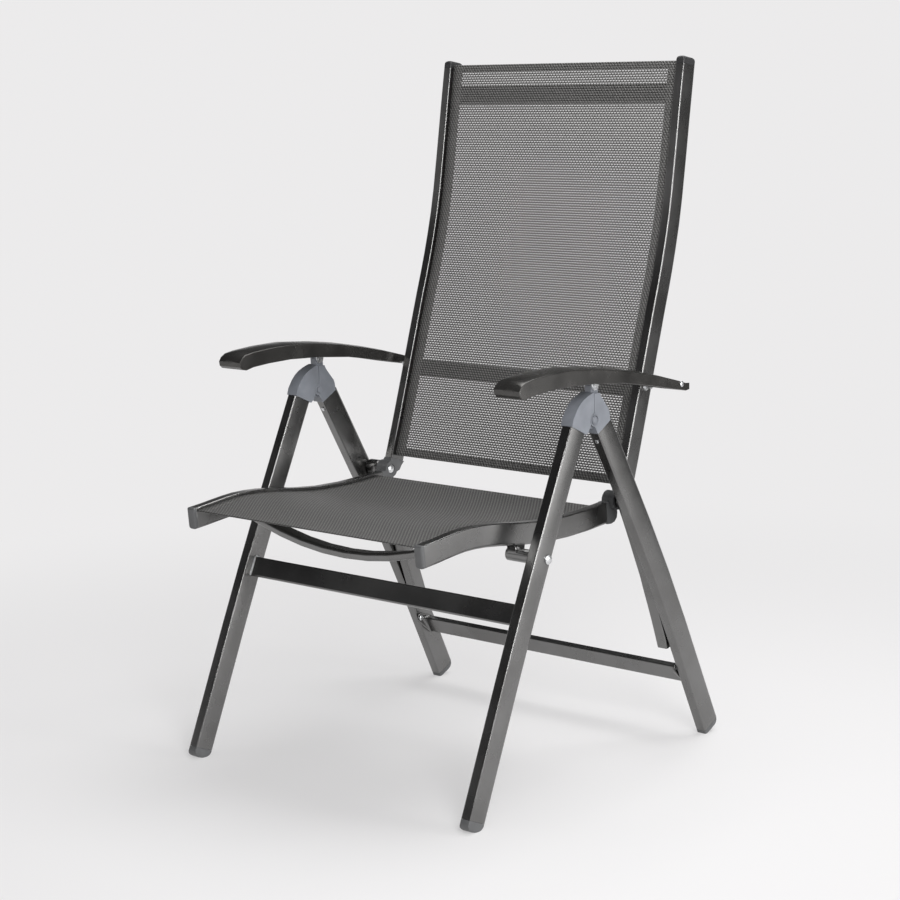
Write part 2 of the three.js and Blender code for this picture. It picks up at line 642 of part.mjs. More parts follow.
function armBody() {
  const half = ARM_WIDTH / 2;
  const outer = EDGE_SHARES.map(([along, inset]) => [half - ARM_EDGE * (1 - along), inset * ARM_EDGE]);
  const side = [...ARM_STATIONS.slice(1).map((share) => [half * share, 0]), ...outer];
  const stations = [...side.map(([x, inset]) => [-x, inset]).reverse(), [0, 0], ...side];
  const rings = stations.map(([x, inset]) => (
    armOutline(x / half, inset).map((point) => inSpace(ARM_X + x, point))
  ));
  return solidOf(skin(rings, [rings[0].map((p) => new THREE.Vector2(p.z, p.y))]));
}

function armrest() {
  const inner = [ARM_X - ARM_WIDTH / 2 + ARM_WALL, ARM_X + ARM_WIDTH / 2 - ARM_WALL];
  const floor = ARM_PIVOT[1] - ARM_WIDTH * 2;
  const room = [[ARM_NOSE_Y, floor], ...armRoof(ARM_NOSE_Y, ARM_TAIL_Y, 0), [ARM_TAIL_Y, floor]];
  return geometryOf(armBody()
    .subtract(plate(room, ...inner))
    .subtract(disc(ARM_RIVET, SMALL_SCREW.shank + FIT_GAP, ARM_X, ARM_X + ARM_WIDTH)));
}

function armRack() {
  const innerX = ARM_X - ARM_WIDTH / 2 + ARM_WALL + FIT_GAP;
  const outerX = LEG_X + KNUCKLE_WIDTH / 2 + FIT_GAP + RACK.sheet;
  const strip = [
    ...armRoof(RACK.front, RACK.rear, FIT_GAP),
    ...armRoof(RACK.front, RACK.rear, FIT_GAP + RACK.sheet).reverse(),
  ];
  const earEnds = [ARM_PIVOT[0] - ARM_LUG, ARM_PIVOT[0] + ARM_LUG];
  const ear = [
    ...earEnds.map((y) => [y, ARM_PIVOT[1]]), ...armRoof(...earEnds, FIT_GAP + RACK.sheet / 2).reverse(),
  ];
  const ears = [outerX - RACK.sheet, LEG_X - KNUCKLE_WIDTH / 2 - FIT_GAP - RACK.sheet];
  const toothEnds = [RACK.notches[RACK.notches.length - 1][0], RACK.notches[0][0]];
  const notched = [...armRoof(...toothEnds, FIT_GAP + RACK.sheet / 2), ...RACK.notches];
  let rack = plate(strip, innerX, outerX).add(plate(notched, innerX, innerX + RACK.sheet));
  for (const x of ears) {
    rack = rack.add(plate(ear, x, x + RACK.sheet)).add(disc(ARM_PIVOT, ARM_LUG, x, x + RACK.sheet));
  }
  return geometryOf(rack.subtract(disc(ARM_PIVOT, ARM_PIN.shank + FIT_GAP, 0, ARM_X + ARM_WIDTH)));
}

// Bars across the chair

// A bar's section centred on its line, inset from its skin
function centredLoop(across, through, radius, inset) {
  const loop = roundedLoop(across, through, radius, radius, 0, inset);
  return loop.map((p) => new THREE.Vector2(p.x, p.y + through / 2));
}

// The section's height runs up the lean, which tips it forward, and its depth runs back from it.
function barAlongX({ centre, height, depth, radius, lean }, x0, x1, inset) {
  const a = THREE.MathUtils.degToRad(lean);
  const side = new THREE.Vector3(0, -Math.sin(a), Math.cos(a));
  const path = [inSpace(x0, centre), inSpace(x1, centre)];
  const loop = centredLoop(height, depth, radius, inset);
  return solidOf(sweep({ path, tangents: [X_AXIS, X_AXIS] }, side, [loop]));
}

// A bar that lies behind the back sling, as deep and as tilted as the sling at its height
function behindBack(bar) {
  const { path, tangents } = smoothPath(0, BACK_FACE, FINE_STEPS);
  const i = path.findIndex((p) => p.z >= onSide([0, bar.faceZ]).y);
  const forward = new THREE.Vector3().crossVectors(X_AXIS, tangents[i]).normalize();
  const behind = BACK_SLING_RECESS + BACK_SLING_SAG + SLING_THICKNESS + BAR_GAP + bar.depth / 2;
  const centre = onDrawing(path[i].clone().addScaledVector(forward, -behind));
  const lean = THREE.MathUtils.radToDeg(Math.atan2(-tangents[i].y, tangents[i].z));
  return { ...bar, centre, lean };
}

function bored(solid, bar, halfLength) {
  return solid.subtract(barAlongX(bar, -halfLength - FIT_GAP, halfLength + FIT_GAP, CROSSBAR_WALL));
}

function crossTube(bar, halfLength) {
  return geometryOf(bored(barAlongX(bar, -halfLength, halfLength, 0), bar, halfLength));
}

function rearCrossbar() {
  const end = LEG_X - LEG_WIDTH / 2 - FIT_GAP;
  const { radius, margin, thickness } = CROSSBAR_LUG;
  let bar = barAlongX(REAR_BAR, -end, end, 0);
  for (const x of [-end, end - thickness]) {
    const lug = disc(CROSSBAR_BOLT, radius, x, x + thickness)
      .add(barAlongX(REAR_BAR, x, x + thickness, -margin))
      .hull();
    bar = bar.add(lug)
      .subtract(disc(CROSSBAR_BOLT, SMALL_SCREW.shank + FIT_GAP, x - FIT_GAP, x + thickness + FIT_GAP));
  }
  return geometryOf(bored(bar, REAR_BAR, end));
}

// A bar that bows downward between the rails
function spreader({ end: [y, z], height, depth, radius, sag }) {
  const end = SEAT_RAIL_X - SEAT_RAIL_WIDTH / 2 - FIT_GAP;
  const steps = Array.from({ length: SPREADER_STEPS + 1 }, (_, i) => (2 * i) / SPREADER_STEPS - 1);
  const path = steps.map((t) => inSpace(t * end, [y, z - sag * (1 - t * t)]));
  const tangents = steps.map((t) => new THREE.Vector3(end, 0, 2 * sag * t).normalize());
  tangents[0] = X_AXIS;
  tangents[SPREADER_STEPS] = X_AXIS;
  return geometryOf(solidOf(sweep({ path, tangents }, Y_AXIS, [centredLoop(depth, height, radius, 0)])));
}

// Slings: one sheet between the rails, a little behind their faces, dipping towards its middle

function slingRows(x, face, recess, [from, to], axis) {
  const { path, tangents } = smoothPath(x, face, FINE_STEPS);
  const inside = path.map((p, i) => {
    const normal = new THREE.Vector3().crossVectors(X_AXIS, tangents[i]).normalize();
    return { p: p.clone().addScaledVector(normal, -recess), normal };
  }).filter(({ p }) => p[axis] >= from && p[axis] <= to);
  return Array.from({ length: SLING_ROWS + 1 }, (_, i) => (
    inside[Math.round((i * (inside.length - 1)) / SLING_ROWS)]
  ));
}

function sling(rows, halfWidth, sag) {
  const columns = Array.from({ length: SLING_COLUMNS + 1 }, (_, i) => (2 * i) / SLING_COLUMNS - 1);
  const position = [];
  const index = [];
  const size = columns.length;
  rows.forEach(({ p, normal }, r) => {
    const along = (2 * r) / (rows.length - 1) - 1;
    for (const face of [0, SLING_THICKNESS]) {
      for (const t of columns) {
        const dip = sag * (1 - t * t) * (1 - along ** SAG_POWER) + face;
        const q = p.clone().addScaledVector(normal, -dip);
        position.push(t * halfWidth, q.y, q.z);
      }
    }
  });
  const at = (row, side, column) => (row * 2 + side) * size + column;
  const quad = (a, b, c, d) => index.push(a, b, c, a, c, d);
  for (let row = 0; row < rows.length - 1; row += 1) {
    for (let c = 0; c < size - 1; c += 1) {
      quad(at(row, 0, c), at(row, 0, c + 1), at(row + 1, 0, c + 1), at(row + 1, 0, c));
      quad(at(row, 1, c), at(row + 1, 1, c), at(row + 1, 1, c + 1), at(row, 1, c + 1));
    }
    quad(at(row, 0, 0), at(row + 1, 0, 0), at(row + 1, 1, 0), at(row, 1, 0));
    quad(at(row, 0, size - 1), at(row, 1, size - 1), at(row + 1, 1, size - 1), at(row + 1, 0, size - 1));
  }
  const last = rows.length - 1;
  for (let c = 0; c < size - 1; c += 1) {
    quad(at(0, 0, c), at(0, 1, c), at(0, 1, c + 1), at(0, 0, c + 1));
    quad(at(last, 0, c), at(last, 0, c + 1), at(last, 1, c + 1), at(last, 1, c));
  }
  const geometry = new THREE.BufferGeometry();
  geometry.setAttribute('position', new THREE.Float32BufferAttribute(position, 3));
  geometry.setIndex(index);
  return geometryOf(solidOf(geometry));
}

function seatSling() {
  const ends = SEAT_SLING_ENDS.map((y) => onSide([y, 0]).x);
  const rows = slingRows(SEAT_RAIL_X, SEAT_TOP, SEAT_SLING_RECESS, ends, 'y');
  return sling(rows, SEAT_RAIL_X - SEAT_RAIL_WIDTH / 2 - FIT_GAP, SEAT_SLING_SAG);
}

function backSling() {
  const ends = BACK_SLING_ENDS.map((z) => onSide([0, z]).y);
  const rows = slingRows(BACK_RAIL_X, [...BACK_FACE, BACK_SLING_TOP], BACK_SLING_RECESS, ends, 'z');
  return sling(rows, BACK_RAIL_X - BACK_RAIL_WIDTH / 2 - FIT_GAP, BACK_SLING_SAG);
}

// Screws and pins

function boltFrom(centre, headX, tipX, { shank, head, headLength }) {
  const sign = Math.sign(headX - tipX);
  const dome = [
    [headX + sign * headLength, head * DOME_SHARE],
    [headX + sign * headLength * DOME_SHARE, head],
  ];
  const profile = [...dome, [headX, head], [headX, shank], [tipX, shank]];
  return pin(centre, sign > 0 ? profile.reverse() : profile);
}

function headedPin(centre, x0, x1, { shank, head, headLength }) {
  return pin(centre, [[x0 - headLength, head], [x0, head], [x0, shank], [x1, shank], [x1, head],
    [x1 + headLength, head]]);
}

// Assembly

const chair = new THREE.Group();
chair.name = 'sling_patio_chair';

function place(name, geometry, material) {
  const mesh = new THREE.Mesh(geometry, materials[material]);
  mesh.name = name;
  chair.add(mesh);
}

function placePair(name, geometry, material) {
  place(`${name}_left`, geometry, material);
  place(`${name}_right`, mirrored(geometry), material);
}

const legInner = LEG_X - LEG_WIDTH / 2;
const legOuter = LEG_X + LEG_WIDTH / 2;
const hubInner = LEG_X - HUB_WIDTH / 2 - FIT_GAP;
const hubOuter = LEG_X + HUB_WIDTH / 2 + FIT_GAP;
const railOuter = BACK_RAIL_X + BACK_RAIL_WIDTH / 2;
const hubScrewSpot = faceSpot(LEG_X, REAR_LEG_FACE, HUB_SCREW.fromEnd);
const holeAt = (centre, radius) => disc(centre, radius + FIT_GAP, 0, ARM_X + ARM_WIDTH);

placePair('front_leg', tube(LEG_X, FRONT_LEG_FACE, FRONT_LEG, LEG_STEPS, [
  holeAt(SEAT_PIVOT, PIVOT_BOLT.shank),
]), 'frame_metal');
placePair('front_foot_cap', footCap(FRONT_LEG_FACE, FRONT_LEG, FRONT_FOOT), 'cap_plastic');
placePair('front_hub', frontHub(), 'hub_plastic');
place('front_crossbar', crossTube(FRONT_BAR, legInner - FIT_GAP), 'frame_metal');
placePair('hub_pin', headedPin(HUB_PIVOT, hubInner, hubOuter, HUB_PIN), 'hub_plastic');
placePair('seat_pivot_bolt', boltFrom(SEAT_PIVOT, legOuter + FIT_GAP, SEAT_RAIL_X - SEAT_SLEEVE.inset,
  PIVOT_BOLT), 'bright_steel');

placePair('rear_leg', tube(LEG_X, REAR_LEG_FACE, REAR_LEG, LEG_STEPS, [
  holeAt(LINK_PIVOT, PIVOT_BOLT.shank).intersect(disc(LINK_PIVOT, PIVOT_BOLT.head, 0, LEG_X)),
  disc(CROSSBAR_BOLT, SMALL_SCREW.shank + FIT_GAP, 0, LEG_X),
  drill(hubScrewSpot, HUB_SCREW),
]), 'frame_metal');
placePair('rear_foot_cap', footCap(REAR_LEG_FACE, REAR_LEG, REAR_FOOT), 'cap_plastic');
placePair('rear_hub', rearHub(), 'hub_plastic');
placePair('hub_screw', screwAt(hubScrewSpot, HUB_SCREW), 'bright_steel');
place('rear_crossbar', rearCrossbar(), 'frame_metal');
placePair('link_pin', pin(LINK_PIVOT, [
  [LINK_X + LINK_WIDTH / 2 + FIT_GAP, PIVOT_BOLT.head], [legInner - FIT_GAP, PIVOT_BOLT.head],
  [legInner - FIT_GAP, PIVOT_BOLT.shank], [LEG_X, PIVOT_BOLT.shank],
]), 'bright_steel');
placePair('crossbar_bolt', boltFrom(CROSSBAR_BOLT, legInner - FIT_GAP * 2 - CROSSBAR_LUG.thickness, LEG_X,
  SMALL_SCREW), 'bright_steel');

placePair('seat_rail', tube(SEAT_RAIL_X, SEAT_TOP, SEAT_RAIL, PATH_STEPS), 'frame_metal');
placePair('seat_front_cap', endPlug(tubeEnds(SEAT_RAIL_X, SEAT_TOP).start, SEAT_RAIL, RAIL_CAP.length,
  RAIL_CAP.round), 'cap_plastic');
placePair('seat_rear_knuckle', seatKnuckle(), 'cap_plastic');
placePair('seat_pivot_sleeve', seatSleeve(), 'frame_metal');
place('seat_front_spreader', spreader(FRONT_SPREADER), 'frame_metal');
place('seat_rear_spreader', spreader(REAR_SPREADER), 'frame_metal');
place('seat_sling', seatSling(), 'mesh_fabric');
placePair('back_pivot_bolt', boltFrom(BACK_PIVOT,
  SEAT_RAIL_X - SEAT_RAIL_WIDTH / 2 + PIVOT_BOLT.headLength - FIT_GAP,
  LINK_X + LINK_WIDTH / 2 - FIT_GAP * 4, PIVOT_BOLT), 'bright_steel');

placePair('back_rail', tube(BACK_RAIL_X, BACK_FACE, BACK_RAIL, PATH_STEPS, [
  disc(STUD, ARM_STUD.shank + FIT_GAP, BACK_RAIL_X, railOuter + FIT_GAP),
]), 'frame_metal');
placePair('back_top_cap', endPlug(tubeEnds(BACK_RAIL_X, BACK_FACE).finish, BACK_RAIL, TOP_CAP.length,
  TOP_CAP.round), 'cap_plastic');
placePair('back_fitting', backFitting(), 'cap_plastic');
placePair('armrest_stud', pin(STUD, [
  [BACK_RAIL_X, ARM_STUD.shank],
  [railOuter + FIT_GAP, ARM_STUD.shank],
  [railOuter + FIT_GAP, ARM_STUD.head],
  [railOuter + FIT_GAP + ARM_STUD.headLength, ARM_STUD.head],
  [railOuter + FIT_GAP + ARM_STUD.headLength, ARM_STUD.shank],
  [ARM_X - ARM_WIDTH / 2 - FIT_GAP, ARM_STUD.shank],
]), 'bright_steel');
const backRailInner = BACK_RAIL_X - BACK_RAIL_WIDTH / 2 - FIT_GAP;
place('back_upper_crossbar', crossTube(behindBack(UPPER_BAR), backRailInner), 'frame_metal');
place('back_lumbar_crossbar', crossTube(behindBack(LUMBAR_BAR), backRailInner), 'frame_metal');
place('back_sling', backSling(), 'mesh_fabric');

placePair('armrest', armrest(), 'arm_plastic');
placePair('armrest_rack', armRack(), 'bright_steel');
placePair('armrest_rivet', boltFrom(ARM_RIVET, ARM_X + ARM_WIDTH / 2 + FIT_GAP,
  ARM_X + ARM_WIDTH / 2 - ARM_WALL * 2, SMALL_SCREW), 'bright_steel');
placePair('armrest_pin', headedPin(ARM_PIVOT, LEG_X - KNUCKLE_WIDTH / 2 - RACK.sheet - FIT_GAP * 2,
  LEG_X + KNUCKLE_WIDTH / 2 + RACK.sheet + FIT_GAP * 2, ARM_PIN), 'bright_steel');

placePair('link', link(), 'frame_metal');

export default chair;
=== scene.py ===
"""Looks of a folding sling patio chair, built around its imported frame.

Metres, +X to the sitter's left, +Y to the rear, +Z up. The frame's own nodes keep their shapes and get
materials and softened edges. The two slings are replaced by woven sheets with hems and stitching.
"""

import json
import math

import bpy
import numpy as np
from mathutils import Matrix, Vector
from mathutils.bvhtree import BVHTree


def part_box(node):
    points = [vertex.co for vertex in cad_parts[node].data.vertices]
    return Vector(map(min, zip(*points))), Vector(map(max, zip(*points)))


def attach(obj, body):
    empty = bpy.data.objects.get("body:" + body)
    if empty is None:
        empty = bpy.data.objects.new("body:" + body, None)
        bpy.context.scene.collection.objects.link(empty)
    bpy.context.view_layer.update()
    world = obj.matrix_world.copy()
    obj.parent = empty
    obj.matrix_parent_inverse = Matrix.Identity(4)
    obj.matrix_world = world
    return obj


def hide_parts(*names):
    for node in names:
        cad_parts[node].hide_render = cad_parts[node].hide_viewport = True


MM = 0.001

# Photograph: the camera's angles in degrees, its distance, aim and lens, with the optical axis in pixels
IMAGE_SIZE = 900
CAMERA_AZIMUTH = 41.534
CAMERA_ELEVATION = 9.019
CAMERA_ROLL = 1.708
CAMERA_DISTANCE = 3.6134
CAMERA_AIM = (0.0, 0.0231, 0.5713)
CAMERA_FOCAL_PX = 2232.6
CAMERA_AXIS_PX = (455.48, 399.65)
SENSOR_WIDTH_MM = 36.0

# Edges of the frame's nodes: the least angle that counts as one, and how far each slot's are rounded
EDGE_ANGLE = math.radians(38)
EDGE_SEGMENTS = 2
EDGE_WIDTH = {
    "frame_metal": 0,
    "cap_plastic": 0.8 * MM,
    "hub_plastic": 1.8 * MM,
    "arm_plastic": 0.9 * MM,
    "bright_steel": 0.25 * MM,
}
WELD_DISTANCE = 0.01 * MM

# Slings: the sheet, the hems behind it, and the grid of points that they are made of
SHEET_THICKNESS = 0.9 * MM
HEM_THICKNESS = 0.5 * MM
HEM_GAP = 0.1 * MM
BACK_HEMS = {"side": 20 * MM, "start": 14 * MM, "finish": 12 * MM}
SEAT_HEMS = {"side": 18 * MM, "start": 16 * MM, "finish": 14 * MM}
SHEET_ROWS = 26
SHEET_COLUMNS = 10
HEM_COLUMNS = 3
SMOOTH_LEVELS = 2

# Rays that find a sling's face: how far they stay inside its edges, where they start, and how many
END_MARGIN = 0.6 * MM
RAY_REACH = 0.3
LINE_SAMPLES = 200

# Weave: pitches, the cosines that bound its warp threads and its dips, how far a row strays, the least
# height of a crest along and across the yarn, and the open share of each row
WEAVE_ROW = 4.05 * MM
WEAVE_COLUMN = 5.9 * MM
BRIDGE_EDGE = 0.80
DIP_EDGE = -0.93
ROW_STRAY = 0.16
# The yarn's colour follows the crest's height, so these also set the weakest painted highlight on it
CREST_LOW = 0.1
CROWN_LOW = 0.25
BACK_OPEN = 0.30
SEAT_OPEN = 0.34
DOUBLED_OPEN = 0.2

# Stitching, with the place along and the width of a stitch at each of its rings
STITCH_LENGTH = 2.6 * MM
STITCH_STEP = 3.6 * MM
STITCH_RADIUS = 0.28 * MM
STITCH_INSET = 3 * MM
STITCH_PROFILE = ((-0.5, 0.35), (-0.32, 0.95), (0, 1.1), (0.32, 0.95), (0.5, 0.35))
STITCH_SIDES = 6

# Ring moulded round each hub's pin
RING_RADIUS = 7 * MM
RING_WIDTH = 0.7 * MM
RING_SEGMENTS = 48
RING_SIDES = 8

# Weld beads
BEAD_RADIUS = 3.0 * MM
BEAD_RIPPLE = 0.16
BEAD_PITCH = 3.4 * MM
BEAD_STATIONS = 4
BEAD_TIP = 0.1
BEAD_SIDES = 10

# Colours, linear
ANTHRACITE = (0.220, 0.219, 0.217, 1)
ANTHRACITE_DARK = (0.186, 0.184, 0.181, 1)
CAP_GREY = (0.096, 0.098, 0.100, 1)
HUB_GREY = (0.190, 0.202, 0.226, 1)
CAP_DARK = (0.026, 0.026, 0.027, 1)
ARM_BROWN = (0.074, 0.072, 0.069, 1)
# Painted shade for the back's crossbars behind the sheet, darker than the frame's own coat
BAR_PAINTED_SHADE = (0.050, 0.049, 0.048, 1)
# Ends of the yarns' colour: the weave runs from painted shade in its dips to a painted highlight on its
# crests, and the thread from one to the other along its twist
YARN_DARK = (0.036, 0.035, 0.034, 1)
YARN_LIGHT = (0.275, 0.271, 0.264, 1)
# Painted shade in the slots of weaves that aren't see-through, in place of the dark seen through them
SLOT_PAINTED_SHADE = (0.018, 0.018, 0.017, 1)
STEEL = (0.72, 0.73, 0.74, 1)
FLOOR_COLOUR = (0.83, 0.822, 0.826, 1)
HORIZON_COLOUR = (0.838, 0.830, 0.834, 1)
SKY_COLOUR = (0.05, 0.05, 0.052, 1)
CARD_LOW = (0.48, 0.48, 0.48, 1)
CARD_HIGH = (0.14, 0.14, 0.14, 1)

# Surfaces: how deep their relief is, and how much wear lightens or darkens them
PEEL_DEPTH = 0.06 * MM
MARK_DEPTH = 0.05 * MM
YARN_DEPTH = 0.5 * MM
THREAD_DEPTH = 0.1 * MM
RUBBED = 1.22
UNRUBBED = 0.86
GRIMY = 0.62
MOULDED = {
    "cap_plastic": {"colour": CAP_GREY, "roughness": 0.42, "grain": 700, "grain_depth": 0.2 * MM},
    "hub_plastic": {"colour": HUB_GREY, "roughness": 0.38, "grain": 800, "grain_depth": 0.15 * MM},
    "arm_plastic": {
        "colour": ARM_BROWN, "roughness": 0.24, "grain": 900, "grain_depth": 0.08 * MM, "metallic": 0.75,
    },
    # Painted shade: the back's crossbars are frame metal, darkened and dulled here
    "painted_shade_coat": {"colour": BAR_PAINTED_SHADE, "roughness": 0.42, "grain": 2600, "grain_depth": 0.06 * MM},
    "dark_cap": {"colour": CAP_DARK, "roughness": 0.42, "grain": 700, "grain_depth": 0.2 * MM},
}
STEEL_ROUGHNESS = 0.25
WELD_ROUGHNESS = 0.4

# Nodes with a look other than their slot's
OWN_LOOKS = {
    # The back's crossbars are frame metal, given a dark dull coat as painted shade for the shade they lie
    # in behind the sheet
    "back_upper_crossbar": "painted_shade_coat",
    "back_lumbar_crossbar": "painted_shade_coat",
    "back_top_cap_left": "dark_cap",
    "back_top_cap_right": "dark_cap",
}

# Lamps and card: direction from the chair's middle, distance, size, and a lamp's watts
LAMPS = {
    "key": ((0.72, -0.50, 0.42), 3.0, (0.9, 1.8), 62),
    "side": ((0.95, 0.22, 0.06), 3.0, (0.8, 1.0), 21),
    "top": ((0.1, 0.3, 1), 2.8, (2.4, 2.4), 90),
    "wide": ((0.85, 0.50, -0.02), 2.6, (1.0, 1.3), 5),
}
CARD = ((0.52, 0.85, 0.044), 1.8, (1.22, 1.3))

# Floor: its side, the distances over which it turns into the horizon, and its glow at the chair
FLOOR_SIZE = 60
FLOOR_FADE = (0.5, 2.0)
FLOOR_GLOW = 0.55

# Sines of the elevations over which the horizon turns into the sky
SKY_FADE = (0.05, 0.3)


# Node helpers


def add_node(tree, kind, settings=None, **inputs):
    """A shader node with its settings, and values or sockets for inputs, with _ for a space in a name."""
    node = tree.nodes.new(kind)
    for key, value in (settings or {}).items():
        setattr(node, key, value)
    for key, value in inputs.items():
        plug(tree, node.inputs[key.replace("_", " ")], value)
    return node


def plug(tree, socket, value):
    if isinstance(value, bpy.types.NodeSocket):
        tree.links.new(value, socket)
    else:
        socket.default_value = value


def calc(tree, operation, *values):
    node = tree.nodes.new("ShaderNodeMath")
    node.operation = operation
    for socket, value in zip(node.inputs, values):
        plug(tree, socket, value)
    return node.outputs[0]


def remap(tree, value, low, high, to_low, to_high, smooth=False):
    node = add_node(
        tree, "ShaderNodeMapRange", {"interpolation_type": "SMOOTHSTEP" if smooth else "LINEAR"},
        Value=value, From_Min=low, From_Max=high, To_Min=to_low, To_Max=to_high,
    )
    return node.outputs[0]


def mix_colour(tree, factor, a, b):
    node = tree.nodes.new("ShaderNodeMix")
    node.data_type = "RGBA"
    plug(tree, node.inputs["Factor"], factor)
    colours = [socket for socket in node.inputs if socket.type == "RGBA"]
    plug(tree, colours[0], a)
    plug(tree, colours[1], b)
    return next(socket for socket in node.outputs if socket.type == "RGBA")


def noise(tree, where, scale, detail=3.0, stretch=None):
    if stretch:
        where = add_node(tree, "ShaderNodeMapping", Vector=where, Scale=stretch).outputs[0]
    return add_node(tree, "ShaderNodeTexNoise", Vector=where, Scale=scale, Detail=detail).outputs[0]


def bump(tree, height, strength, distance):
    return add_node(tree, "ShaderNodeBump", Height=height, Strength=strength, Distance=distance).outputs[0]


def shade(colour, factor):
    return tuple(part * factor for part in colour[:3]) + (1,)


def material(name):
    """A new material, its tree, its surface shader and object coordinates."""
    made = bpy.data.materials.new(name)
    made.use_nodes = True
    tree = made.node_tree
    where = tree.nodes.new("ShaderNodeTexCoord").outputs["Object"]
    return made, tree, tree.nodes["Principled BSDF"], where


def fill(tree, shader, **inputs):
    for key, value in inputs.items():
        plug(tree, shader.inputs[key.replace("_", " ")], value)


# Materials


def metal_material():
    """Satin anthracite coat on aluminium, with a fine orange peel and faint cloudy wear."""
    made, tree, shader, where = material("anthracite_metal")
    cloud = noise(tree, where, 14, 4)
    peel = noise(tree, where, 2600, 2)
    fill(
        tree, shader,
        Base_Color=mix_colour(tree, remap(tree, cloud, 0.35, 0.65, 0, 1), ANTHRACITE_DARK, ANTHRACITE),
        Metallic=1,
        Roughness=remap(tree, cloud, 0.3, 0.7, 0.24, 0.31),
        Normal=bump(tree, peel, 0.03, PEEL_DEPTH),
    )
    return made


def plastic_material(name, colour, roughness, grain, grain_depth, metallic=0.0):
    """Moulded plastic with a fine grain, a little lighter where it is rubbed."""
    made, tree, shader, where = material(name)
    cloud = noise(tree, where, 22, 3)
    rubbed = remap(tree, cloud, 0.35, 0.7, 0, 1)
    fill(
        tree, shader,
        Base_Color=mix_colour(tree, rubbed, shade(colour, UNRUBBED), shade(colour, RUBBED)),
        Metallic=metallic,
        Roughness=remap(tree, cloud, 0.3, 0.7, roughness - 0.04, roughness + 0.06),
        Normal=bump(tree, noise(tree, where, grain, 2), 0.25, grain_depth),
    )
    return made


def steel_material(name, roughness):
    """Zinc-plated steel with faint turning marks and grime."""
    made, tree, shader, where = material(name)
    marks = noise(tree, where, 500, 3, stretch=(6, 1, 1))
    grime = noise(tree, where, 160, 4)
    fill(
        tree, shader,
        Base_Color=mix_colour(tree, remap(tree, grime, 0.45, 0.75, 0, 1), STEEL, shade(STEEL, GRIMY)),
        Metallic=0.95,
        Roughness=remap(tree, marks, 0.3, 0.7, roughness - 0.05, roughness + 0.1),
        Normal=bump(tree, marks, 0.15, MARK_DEPTH),
    )
    return made


def weave_material(name, openness, see_through=True, phase=0.0):
    """Coated yarns in rows with slots between them, lighter on their crests as a painted highlight and
    darker in the dips between them as painted shade.

    openness is the share of each row's height left open, and phase moves the rows by a share of a row.
    """
    made, tree, shader, where = material(name)
    cloth = add_node(tree, "ShaderNodeAttribute", {"attribute_name": "cloth"}).outputs["Vector"]
    across, along, _ = add_node(tree, "ShaderNodeSeparateXYZ", Vector=cloth).outputs
    fuzz = noise(tree, where, 900, 3)
    stray = calc(tree, "MULTIPLY", calc(tree, "SUBTRACT", noise(tree, where, 260, 2), 0.5), ROW_STRAY)
    row = calc(tree, "ADD", calc(tree, "ADD", calc(tree, "DIVIDE", along, WEAVE_ROW), stray), phase)
    # Every second row is moved by half a column.
    shift = calc(tree, "MULTIPLY", calc(tree, "ROUND", row), 0.5)
    column = calc(tree, "ADD", calc(tree, "DIVIDE", across, WEAVE_COLUMN), shift)
    row_turn = calc(tree, "MULTIPLY", row, 2 * math.pi)
    column_turn = calc(tree, "MULTIPLY", column, 2 * math.pi)
    slot = calc(tree, "GREATER_THAN", calc(tree, "COSINE", row_turn), math.cos(math.pi * openness))
    # Thin warp threads cross the slots, and the weft dips out of sight between its floats.
    bridge = calc(tree, "GREATER_THAN", calc(tree, "COSINE", column_turn), BRIDGE_EDGE)
    dip = calc(tree, "LESS_THAN", calc(tree, "COSINE", column_turn), DIP_EDGE)
    hole = calc(tree, "MAXIMUM", calc(tree, "MULTIPLY", slot, calc(tree, "SUBTRACT", 1, bridge)), dip)
    # The floats' crests run across the cloth as slanting ribs.
    rib = calc(tree, "ADD", calc(tree, "DIVIDE", across, WEAVE_COLUMN), calc(tree, "MULTIPLY", row, 0.5))
    slant = calc(tree, "SINE", calc(tree, "MULTIPLY", rib, 2 * math.pi))
    crown = remap(tree, calc(tree, "COSINE", row_turn), -1, 1, 1, CROWN_LOW)
    crest = calc(tree, "MULTIPLY", remap(tree, slant, -1, 1, CREST_LOW, 1), crown)
    # The yarn's colour follows the crests: a painted highlight where they rise and painted shade where they
    # sink, with a random fuzz in its tone.
    crest_highlight_and_fuzz = calc(tree, "MULTIPLY", crest, remap(tree, fuzz, 0.3, 0.7, 0.7, 1.2))
    yarn = mix_colour(tree, crest_highlight_and_fuzz, YARN_DARK, YARN_LIGHT)
    height = calc(tree, "ADD", crest, calc(tree, "MULTIPLY", fuzz, 0.2))
    fill(
        tree, shader,
        # Where the weave isn't see-through, its slots get painted shade in place of holes.
        Base_Color=yarn if see_through else mix_colour(tree, hole, yarn, SLOT_PAINTED_SHADE),
        Roughness=remap(tree, fuzz, 0.3, 0.7, 0.5, 0.64),
        Alpha=calc(tree, "SUBTRACT", 1, hole) if see_through else 1,
        Normal=bump(tree, height, 0.8, YARN_DEPTH),
    )
    return made


def thread_material():
    """Twisted sewing thread in the yarns' colours."""
    made, tree, shader, where = material("thread")
    twist = noise(tree, where, 1800, 2)
    fill(
        tree, shader,
        Base_Color=mix_colour(tree, twist, YARN_DARK, YARN_LIGHT),
        Roughness=0.7,
        Normal=bump(tree, twist, 0.3, THREAD_DEPTH),
    )
    return made


